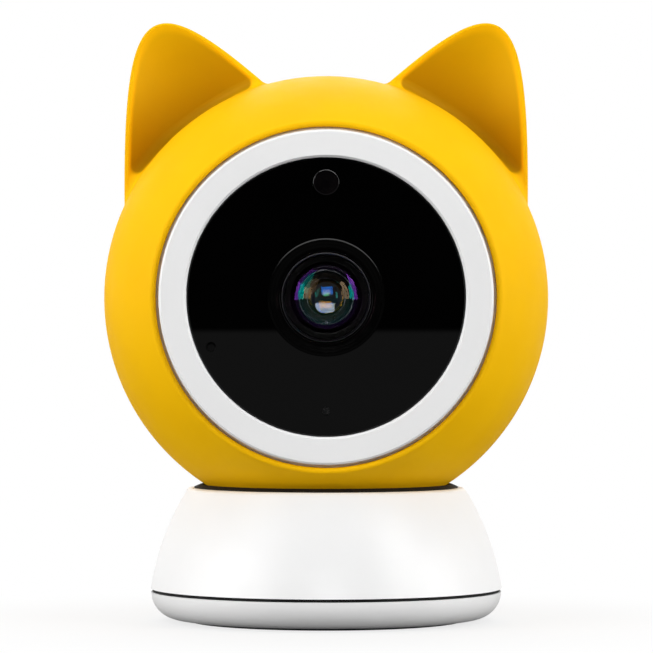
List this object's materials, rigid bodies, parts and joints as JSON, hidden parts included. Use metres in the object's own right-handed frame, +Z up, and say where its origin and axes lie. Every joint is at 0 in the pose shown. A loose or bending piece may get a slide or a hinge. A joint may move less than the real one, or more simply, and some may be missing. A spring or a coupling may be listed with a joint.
{
  "type": "pet camera",
  "caption": "Cat-eared ball camera: a yellow silicone-sleeved head with a round black face and a lens pans and tilts on a weighted white cone base.",
  "frame": {"origin": "on the table plane under the pan axis; the mouth of the tripod thread lies half a millimetre above it", "axes": "+Z up along the pan axis, -Y out of the lens at rest, +X to the right of someone facing the camera"},
  "size_m": [0.084, 0.0751, 0.113],
  "materials": {
    "yellow_silicone": "matte",
    "white_plastic": "satin",
    "black_acrylic": "polished",
    "black_plastic": "matte",
    "black_metal": "anodised",
    "lens_glass": "coated",
    "dark_window": "polished",
    "clear_pipe": "polished",
    "black_rubber": "matte",
    "grey_rubber": "matte",
    "acetal": "satin",
    "steel": "satin",
    "brass": "satin",
    "circuit_board": "satin",
    "chip": "matte",
    "copper_film": "satin",
    "cable_jacket": "matte"
  },
  "bodies": {
    "base": {"base_cover": "white_plastic", "bottom_cover": "white_plastic", "seam_ring": "black_rubber", "foot_pad": "grey_rubber", "tripod_insert": "brass", "ballast": "steel", "base_screws": "steel", "power_board": "circuit_board", "power_board_screws": "steel", "usb_socket": "steel", "usb_tongue": "black_plastic", "reset_switch": "chip", "pan_motor": "steel", "pan_motor_screws": "steel", "pan_bush": "acetal", "thrust_washer": "acetal", "base_lead": "cable_jacket", "base_plug": "acetal"},
    "turntable": {"turntable_hub": "acetal", "pan_gear": "acetal", "yoke": "white_plastic", "yoke_screws": "steel", "tilt_motor": "steel", "tilt_motor_screws": "steel", "tilt_pins": "steel", "neck_lead": "cable_jacket", "neck_plug": "acetal"},
    "head": {"front_shell": "white_plastic", "rear_shell": "white_plastic", "shell_screws": "steel", "cat_ear_sleeve": "yellow_silicone", "face_panel": "black_acrylic", "lens_bezel": "black_plastic", "lens_barrel": "black_metal", "front_lens": "lens_glass", "inner_lens": "lens_glass", "lens_mount": "black_plastic", "mount_screws": "steel", "filter_coil": "copper_film", "image_sensor": "chip", "main_board": "circuit_board", "board_screws": "steel", "processor": "chip", "ir_board": "circuit_board", "ir_leds": "dark_window", "light_sensor": "chip", "sensor_window": "dark_window", "microphone": "steel", "status_led": "clear_pipe", "led_pipe": "clear_pipe", "speaker": "black_plastic", "tilt_gear": "acetal", "tilt_bush": "acetal", "antenna": "copper_film"},
    "filter": {"filter_slider": "black_plastic", "night_filters": "lens_glass"},
    "reset_button": {"reset_button": "black_plastic"},
    "pan_pinion": {"pan_pinion": "brass"},
    "tilt_pinion": {"tilt_pinion": "brass"}
  },
  "joints": [
    {"name": "pan", "type": "hinge", "parent": "base", "child": "turntable", "pos_m": [0, 0, 0.0163], "axis": [0, 0, 1], "range_deg": [-170, 170]},
    {"name": "tilt", "type": "hinge", "parent": "turntable", "child": "head", "pos_m": [0, 0, 0.061], "axis": [-1, 0, 0], "range_deg": [-15, 35]},
    {"name": "pan_pinion_spin", "type": "hinge", "parent": "base", "child": "pan_pinion", "pos_m": [0, -0.021, 0.0116], "axis": [0, 0, 1], "range_deg": [-790, 790]},
    {"name": "tilt_pinion_spin", "type": "hinge", "parent": "turntable", "child": "tilt_pinion", "pos_m": [0.0264, 0.01207, 0.05496], "axis": [-1, 0, 0], "range_deg": [-105, 50]},
    {"name": "night_filter_slide", "type": "slide", "parent": "head", "child": "filter", "axis": [1, 0, 0], "range_m": [0, 0.0066]},
    {"name": "reset_press", "type": "slide", "parent": "base", "child": "reset_button", "axis": [-0.4695, -0.8829, 0], "range_m": [0, 0.00035], "stiffness_N_per_m": 400}
  ],
  "couplings": [
    {"joint": "pan_pinion_spin", "follows": "pan", "ratio": -4.6},
    {"joint": "tilt_pinion_spin", "follows": "tilt", "ratio": -2.8571}
  ]
}
